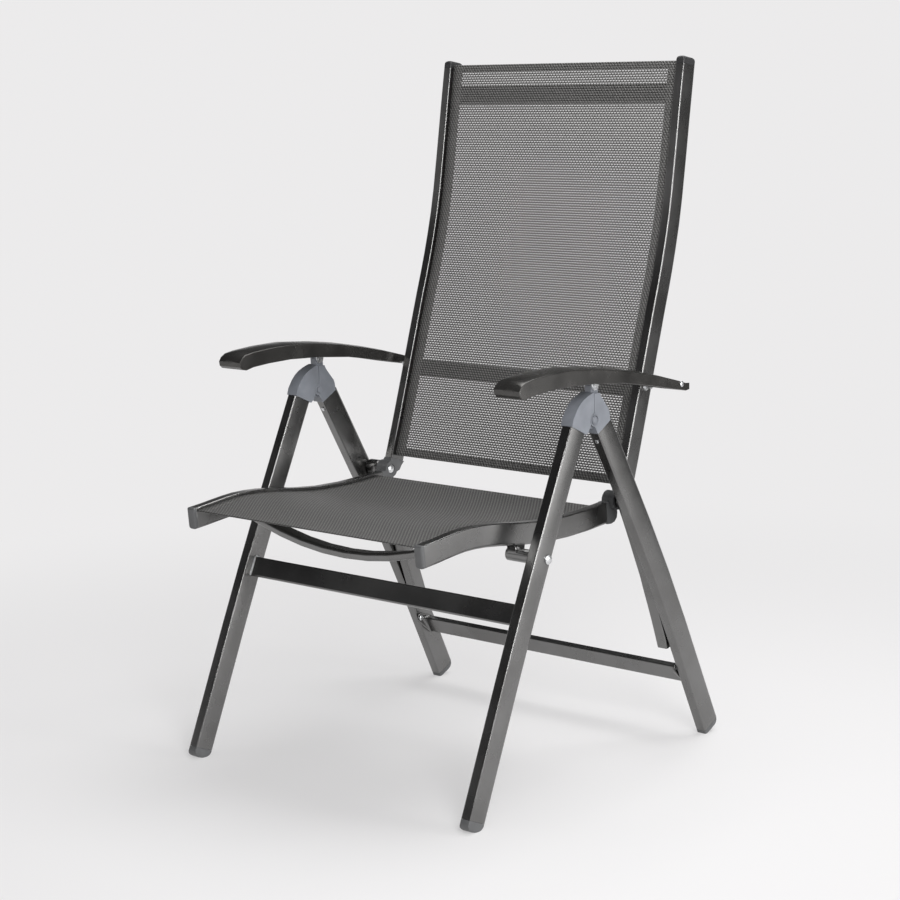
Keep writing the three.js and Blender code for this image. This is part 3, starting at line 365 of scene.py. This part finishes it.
def floor_material():
    """A pale floor that takes the shadow near the chair and turns into the horizon's colour further out."""
    made, tree, shader, where = material("floor")
    uneven = remap(tree, noise(tree, where, 0.6, 2), 0.3, 0.7, 0, 0.06)
    fill(
        tree, shader,
        Base_Color=mix_colour(tree, uneven, FLOOR_COLOUR, HORIZON_COLOUR),
        Roughness=0.9,
        Specular_IOR_Level=0.1,
    )
    glow = add_node(tree, "ShaderNodeEmission", Color=HORIZON_COLOUR)
    reach = add_node(tree, "ShaderNodeVectorMath", {"operation": "LENGTH"}, Vector=where)
    blend = tree.nodes.new("ShaderNodeMixShader")
    share = remap(tree, reach.outputs["Value"], *FLOOR_FADE, FLOOR_GLOW, 1, smooth=True)
    plug(tree, blend.inputs[0], share)
    plug(tree, blend.inputs[1], shader.outputs[0])
    plug(tree, blend.inputs[2], glow.outputs[0])
    plug(tree, tree.nodes["Material Output"].inputs["Surface"], blend.outputs[0])
    return made


# Scene


def add_object(name, data):
    made = bpy.data.objects.new(name, data)
    bpy.context.scene.collection.objects.link(made)
    return made


def rectangle(name, wide, tall, look):
    """The mesh of a flat rectangle round the origin."""
    x, y = wide / 2, tall / 2
    mesh = bpy.data.meshes.new(name)
    mesh.from_pydata([(-x, -y, 0), (x, -y, 0), (x, y, 0), (-x, y, 0)], [], [(0, 1, 2, 3)])
    mesh.materials.append(look)
    return mesh


def make_world():
    """Pale round the horizon and darker above, as under a studio ceiling."""
    world = bpy.data.worlds.new("studio")
    bpy.context.scene.world = world
    world.use_nodes = True
    tree = world.node_tree
    towards = tree.nodes.new("ShaderNodeTexCoord").outputs["Generated"]
    height = add_node(tree, "ShaderNodeSeparateXYZ", Vector=towards).outputs["Z"]
    share = remap(tree, height, *SKY_FADE, 0, 1, smooth=True)
    colour = mix_colour(tree, share, HORIZON_COLOUR, SKY_COLOUR)
    plug(tree, tree.nodes["Background"].inputs["Color"], colour)


def set_up(name, data, towards, distance):
    """Puts a lamp or a card in a direction from the chair's middle and turns it to face the chair."""
    holder = add_object(name, data)
    direction = Vector(towards).normalized()
    holder.location = Vector(CAMERA_AIM) + direction * distance
    holder.rotation_euler = direction.to_track_quat("Z", "Y").to_euler()
    holder.visible_camera = False
    return holder


def area_light(name, towards, distance, size, power):
    lamp = bpy.data.lights.new(name, "AREA")
    lamp.shape = "RECTANGLE"
    lamp.size, lamp.size_y = size
    lamp.energy = power
    set_up(name, lamp, towards, distance)


def grey_card(name, towards, distance, size):
    """A card, darker upwards, that hides the pale surroundings from the metal on one side."""
    made, tree, _, where = material(name)
    half_tall = size[1] / 2
    height = add_node(tree, "ShaderNodeSeparateXYZ", Vector=where).outputs["Y"]
    share = remap(tree, height, -half_tall, -half_tall / 2, 0, 1, smooth=True)
    glow = add_node(tree, "ShaderNodeEmission", Color=mix_colour(tree, share, CARD_LOW, CARD_HIGH))
    plug(tree, tree.nodes["Material Output"].inputs["Surface"], glow.outputs[0])
    set_up(name, rectangle(name, *size, made), towards, distance)


def make_camera():
    """The photograph's camera, from its angles round the chair."""
    azimuth, elevation, roll = map(math.radians, (CAMERA_AZIMUTH, CAMERA_ELEVATION, CAMERA_ROLL))
    level = Vector((math.sin(azimuth), -math.cos(azimuth), 0))
    back = level * math.cos(elevation) + Vector((0, 0, math.sin(elevation)))
    right = Vector((math.cos(azimuth), math.sin(azimuth), 0))
    up = back.cross(right)
    rolled_right = right * math.cos(roll) - up * math.sin(roll)
    rolled_up = right * math.sin(roll) + up * math.cos(roll)
    axes = Matrix((rolled_right, rolled_up, back)).transposed()
    camera = bpy.data.cameras.new("camera")
    camera.sensor_width = SENSOR_WIDTH_MM
    camera.lens = SENSOR_WIDTH_MM * CAMERA_FOCAL_PX / IMAGE_SIZE
    camera.shift_x = 0.5 - CAMERA_AXIS_PX[0] / IMAGE_SIZE
    camera.shift_y = CAMERA_AXIS_PX[1] / IMAGE_SIZE - 0.5
    holder = add_object("camera", camera)
    place = Vector(CAMERA_AIM) + back * CAMERA_DISTANCE
    holder.matrix_world = Matrix.Translation(place) @ axes.to_4x4()
    bpy.context.scene.camera = holder


def make_floor():
    floor = add_object("floor", rectangle("floor", FLOOR_SIZE, FLOOR_SIZE, floor_material()))


# Pieces


def add_piece(name, vertices, faces, look, body):
    """A smooth piece of the chair, riding on a body."""
    mesh = bpy.data.meshes.new(name)
    mesh.from_pydata([tuple(v) for v in vertices], [], faces)
    mesh.shade_smooth()
    mesh.materials.append(look)
    piece = add_object(name, mesh)
    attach(piece, body)
    return piece


def tube_faces(rings, sides, closed=False):
    """Faces round rings of points, capped at both ends or closed into a loop."""
    last = (rings - 1) * sides
    faces = [] if closed else [tuple(range(sides))[::-1], tuple(range(last, last + sides))]
    for ring in range(rings if closed else rings - 1):
        here, there = ring * sides, (ring + 1) % rings * sides
        for k in range(sides):
            after = (k + 1) % sides
            faces.append((here + k, here + after, there + after, there + k))
    return faces


def soften(node, width):
    """Shades a node's faces smoothly, and rounds its edges by a width, or keeps them sharp at width 0."""
    node.data.shade_smooth()
    weld = node.modifiers.new("weld", "WELD")
    weld.merge_threshold = WELD_DISTANCE
    if width:
        bevel = node.modifiers.new("edges", "BEVEL")
        bevel.width = width
        bevel.segments = EDGE_SEGMENTS
        bevel.limit_method = "ANGLE"
        bevel.angle_limit = EDGE_ANGLE
        bevel.harden_normals = True
    else:
        node.data.set_sharp_from_angle(angle=EDGE_ANGLE)
    normals = node.modifiers.new("normals", "WEIGHTED_NORMAL")
    normals.keep_sharp = True


def dress(part, looks):
    """Gives a node of the frame its look and its edges."""
    node, slot = frame["nodes"][part["node"]], part["material_slot"]
    node.data.materials.clear()
    node.data.materials.append(looks[OWN_LOOKS.get(part["node"], slot)])
    if slot in EDGE_WIDTH:
        soften(node, EDGE_WIDTH[slot])


# Slings


class SlingFace:
    """The front or top face of a sling node, as points by place across and share along."""

    def __init__(self, node, along_axis, ray):
        mesh = frame["nodes"][node].data
        corners = [vertex.co for vertex in mesh.vertices]
        self.tree = BVHTree.FromPolygons(corners, [tuple(face.vertices) for face in mesh.polygons])
        self.low, self.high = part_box(node)
        self.along_axis = along_axis
        self.ray = Vector(ray)
        self.half_width = self.high.x
        line = np.array([self.point(0, t) for t in np.linspace(0, 1, LINE_SAMPLES)])
        steps = np.linalg.norm(np.diff(line, axis=0), axis=1)
        self.lengths = np.concatenate([[0], np.cumsum(steps)])
        self.length = self.lengths[-1]

    def point(self, across, share):
        """Where a ray meets the face. Past the side edges the face goes on straight."""
        axis = self.along_axis
        ray_axis = 3 - axis
        inside = min(self.half_width - END_MARGIN, max(END_MARGIN - self.half_width, across))
        span = self.high[axis] - self.low[axis] - 2 * END_MARGIN
        near_side = self.low if self.ray[ray_axis] > 0 else self.high
        start = Vector((inside, 0, 0))
        start[axis] = self.low[axis] + END_MARGIN + share * span
        start[ray_axis] = near_side[ray_axis] - self.ray[ray_axis] * RAY_REACH
        hit = self.tree.ray_cast(start, self.ray)[0]
        return Vector((across, hit.y, hit.z))

    def share_at(self, distance):
        """The share along for a distance along the middle of the sling."""
        return float(np.interp(distance, self.lengths, np.linspace(0, 1, len(self.lengths))))

    def grid(self, across, along, columns, rows):
        """Points, normals towards the ray's source, and cloth coordinates over a patch."""
        distances = np.linspace(*along, rows + 1)
        places = np.linspace(*across, columns + 1)
        points = np.array([[self.point(x, self.share_at(d)) for x in places] for d in distances])
        normals = np.cross(np.gradient(points, axis=1), np.gradient(points, axis=0))
        normals /= np.linalg.norm(normals, axis=2, keepdims=True)
        normals *= -np.sign(normals @ np.array(self.ray))[..., None]
        cloth = np.array([[(x, d, 0) for x in places] for d in distances])
        return points, normals, cloth


def grid_faces(rows, columns, flip):
    faces = []
    for r in range(rows):
        for c in range(columns):
            a = r * (columns + 1) + c
            face = (a, a + 1, a + columns + 2, a + columns + 1)
            faces.append(face[::-1] if flip else face)
    return faces


def cloth_piece(name, face, across, along, depth, thickness, columns, rows, look, body):
    """A woven layer behind a sling's face, with its place in the weave stored on its points."""
    points, normals, cloth = face.grid(across, along, columns, rows)
    points = points - normals * depth
    first = np.cross(points[0, 1] - points[0, 0], points[1, 0] - points[0, 0])
    flip = float(first @ normals[0, 0]) < 0
    faces = grid_faces(rows, columns, flip)
    piece = add_piece(name, points.reshape(-1, 3), faces, look, body)
    stored = piece.data.attributes.new("cloth", "FLOAT_VECTOR", "POINT")
    stored.data.foreach_set("vector", cloth.reshape(-1).astype(np.float32))
    smooth = piece.modifiers.new("smooth", "SUBSURF")
    smooth.levels = SMOOTH_LEVELS
    smooth.render_levels = SMOOTH_LEVELS
    smooth.boundary_smooth = "PRESERVE_CORNERS"
    solid = piece.modifiers.new("thickness", "SOLIDIFY")
    solid.thickness = thickness
    solid.offset = -1
    return piece


def stitch_shape():
    """A closed stitch along +X: points and faces."""
    points = []
    for along, wide in STITCH_PROFILE:
        for k in range(STITCH_SIDES):
            turn = 2 * math.pi * k / STITCH_SIDES
            radius = STITCH_RADIUS * wide
            points.append((STITCH_LENGTH * along, radius * math.cos(turn), radius * math.sin(turn)))
    return np.array(points), tube_faces(len(STITCH_PROFILE), STITCH_SIDES)


def stitch_row(face, start, finish, depth):
    """Transforms of stitches from one (across, along) to another, lying on a sling's face."""
    ends = [face.point(x, face.share_at(d)) for x, d in (start, finish)]
    count = max(2, int((ends[1] - ends[0]).length / STITCH_STEP))
    middles = (np.arange(count) + 0.5) / count
    stitches = []
    for share in middles:
        spots = []
        for s in (share - 0.5 / count, share + 0.5 / count):
            x, d = (a + (b - a) * s for a, b in zip(start, finish))
            spots.append(face.point(x, face.share_at(d)))
        along = (spots[1] - spots[0]).normalized()
        outward = -face.ray
        side = outward.cross(along).normalized()
        outward = along.cross(side)
        place = (spots[0] + spots[1]) / 2 + outward * depth
        stitches.append((np.array(place), np.array([along, side, outward])))
    return stitches


def stitching(name, stitches, look, body):
    """All stitches of a sling as one piece."""
    points, faces = stitch_shape()
    all_points, all_faces = [], []
    for place, axes in stitches:
        offset = len(all_points) * len(points)
        all_points.append(points @ axes + place)
        all_faces += [tuple(i + offset for i in face) for face in faces]
    return add_piece(name, np.concatenate(all_points), all_faces, look, body)


def make_sling(name, face, hems, sling_looks):
    """The open sheet, its doubled hems behind it, and the stitching round it."""
    node, body = f"{name}_sling", f"{name}_frame"
    half, length = face.half_width, face.length
    sheet = cloth_piece(
        f"{name}_sheet", face, (-half, half), (0, length), 0, SHEET_THICKNESS, SHEET_COLUMNS, SHEET_ROWS,
        sling_looks[name], body,
    )
    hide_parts(node)
    inner = half - hems["side"]
    strips = {
        "left_hem": ((inner, half), (0, length), HEM_COLUMNS, SHEET_ROWS),
        "right_hem": ((-half, -inner), (0, length), HEM_COLUMNS, SHEET_ROWS),
        "start_hem": ((-inner, inner), (0, hems["start"]), SHEET_COLUMNS, HEM_COLUMNS),
        "end_hem": ((-inner, inner), (length - hems["finish"], length), SHEET_COLUMNS, HEM_COLUMNS),
    }
    pieces = [
        cloth_piece(
            f"{name}_{part}", face, across, along, SHEET_THICKNESS + HEM_GAP, HEM_THICKNESS, columns, rows,
            sling_looks["doubled"], body,
        )
        for part, (across, along, columns, rows) in strips.items()
    ]
    x = inner + STITCH_INSET
    first = hems["start"] - STITCH_INSET
    last = length - hems["finish"] + STITCH_INSET
    seams = (
        ((x, 0), (x, length)),
        ((-x, 0), (-x, length)),
        ((-x, first), (x, first)),
        ((-x, last), (x, last)),
    )
    stitches = []
    for start, finish in seams:
        stitches += stitch_row(face, start, finish, STITCH_RADIUS / 2)
    pieces.append(stitching(f"{name}_stitching", stitches, sling_looks["thread"], body))


# Weld beads at the ends of the front crossbar


def end_section(node, side):
    """A bar's end, from its vertices at one side: middle, height and depth directions, half sizes."""
    points = np.array([v.co for v in frame["nodes"][node].data.vertices])
    limit = points[:, 0].max() if side > 0 else points[:, 0].min()
    end = points[np.abs(points[:, 0] - limit) < WELD_DISTANCE][:, 1:]
    middle = (end.max(0) + end.min(0)) / 2
    _, _, axes = np.linalg.svd(end - end.mean(0))
    up = axes[0] * np.sign(axes[0][1])
    back = axes[1] * np.sign(axes[1][0])
    half = [np.abs((end - middle) @ axis).max() for axis in (up, back)]
    as_3d = [Vector((0, *v)) for v in (up, back)]
    return Vector((limit, *middle)), as_3d[0], as_3d[1], half[0], half[1]


def bead(name, start, finish, outward, look, body):
    """A rippled weld bead along a line."""
    line = finish - start
    along = line.normalized()
    side = along.cross(outward).normalized()
    lift = side.cross(along)
    count = int(line.length / BEAD_PITCH) * BEAD_STATIONS
    points = []
    for i in range(count + 1):
        t = i / count
        taper = math.sqrt(max(0.0, 1 - abs(2 * t - 1) ** 6)) * (1 - BEAD_TIP) + BEAD_TIP
        ripple = 1 - BEAD_RIPPLE * abs(math.cos(math.pi * i / BEAD_STATIONS))
        radius = BEAD_RADIUS * taper * ripple
        for k in range(BEAD_SIDES):
            turn = 2 * math.pi * k / BEAD_SIDES
            points.append(start + line * t + (side * math.cos(turn) + lift * math.sin(turn)) * radius)
    add_piece(name, points, tube_faces(count + 1, BEAD_SIDES), look, body)


def weld_beads(look):
    """Beads along the front and the top edge of each end of the front crossbar."""
    for side, word in ((1, "left"), (-1, "right")):
        middle, up, back, half_up, half_back = end_section("front_crossbar", side)
        inward = Vector((-side, 0, 0))
        rise, run = up * half_up, back * half_back
        front, top = middle - run, middle + rise
        bead(f"front_weld_{word}", front - rise, front + rise, inward - back, look, "front_frame")
        bead(f"top_weld_{word}", top - run, top + run, inward + up, look, "front_frame")


# Hubs


def hub_ring(name, pin, side, look, body):
    """A raised ring on the hub's outer face, round the end of its pin."""
    low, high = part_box(pin)
    face = high.x if side > 0 else low.x
    middle = (low + high) / 2
    points = []
    for i in range(RING_SEGMENTS):
        round_pin = 2 * math.pi * i / RING_SEGMENTS
        outward = Vector((0, math.cos(round_pin), math.sin(round_pin)))
        spine = Vector((face, middle.y, middle.z)) + outward * RING_RADIUS
        for k in range(RING_SIDES):
            turn = 2 * math.pi * k / RING_SIDES
            points.append(spine + (outward * math.cos(turn) - Vector((math.sin(turn), 0, 0))) * RING_WIDTH)
    faces = tube_faces(RING_SEGMENTS, RING_SIDES, closed=True)
    add_piece(name, points, faces, look, body)


# Assembly

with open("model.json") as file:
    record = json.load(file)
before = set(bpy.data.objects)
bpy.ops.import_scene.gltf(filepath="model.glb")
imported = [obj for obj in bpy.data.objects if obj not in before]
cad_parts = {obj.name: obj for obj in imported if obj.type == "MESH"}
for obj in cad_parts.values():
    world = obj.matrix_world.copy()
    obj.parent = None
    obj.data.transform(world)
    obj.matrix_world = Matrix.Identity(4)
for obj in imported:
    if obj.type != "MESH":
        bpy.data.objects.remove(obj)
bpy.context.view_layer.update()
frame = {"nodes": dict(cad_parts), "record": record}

looks = {name: plastic_material(name, **settings) for name, settings in MOULDED.items()}
looks["frame_metal"] = metal_material()
looks["bright_steel"] = steel_material("bright_steel", STEEL_ROUGHNESS)
looks["mesh_fabric"] = weave_material("weave_doubled", DOUBLED_OPEN, see_through=False, phase=0.5)
sling_looks = {
    "back": weave_material("weave_back", BACK_OPEN),
    "seat": weave_material("weave_seat", SEAT_OPEN, see_through=False),
    "doubled": looks["mesh_fabric"],
    "thread": thread_material(),
}

for part in frame["record"]["subparts"]:
    dress(part, looks)

seat_face = SlingFace("seat_sling", along_axis=1, ray=(0, 0, -1))
back_face = SlingFace("back_sling", along_axis=2, ray=(0, 1, 0))
make_sling("seat", seat_face, SEAT_HEMS, sling_looks)
make_sling("back", back_face, BACK_HEMS, sling_looks)
# The coated weld beads get bright steel as a painted highlight, for the light they catch.
weld_beads(steel_material("weld_bead_highlight", WELD_ROUGHNESS))
for word, sign in (("left", 1), ("right", -1)):
    hub_ring(f"hub_ring_{word}", f"hub_pin_{word}", sign, looks["hub_plastic"], "front_frame")

bpy.context.scene.view_settings.view_transform = "Standard"
make_floor()
make_world()
for lamp_name, settings in LAMPS.items():
    area_light(lamp_name, *settings)
grey_card("side_card", *CARD)
make_camera()
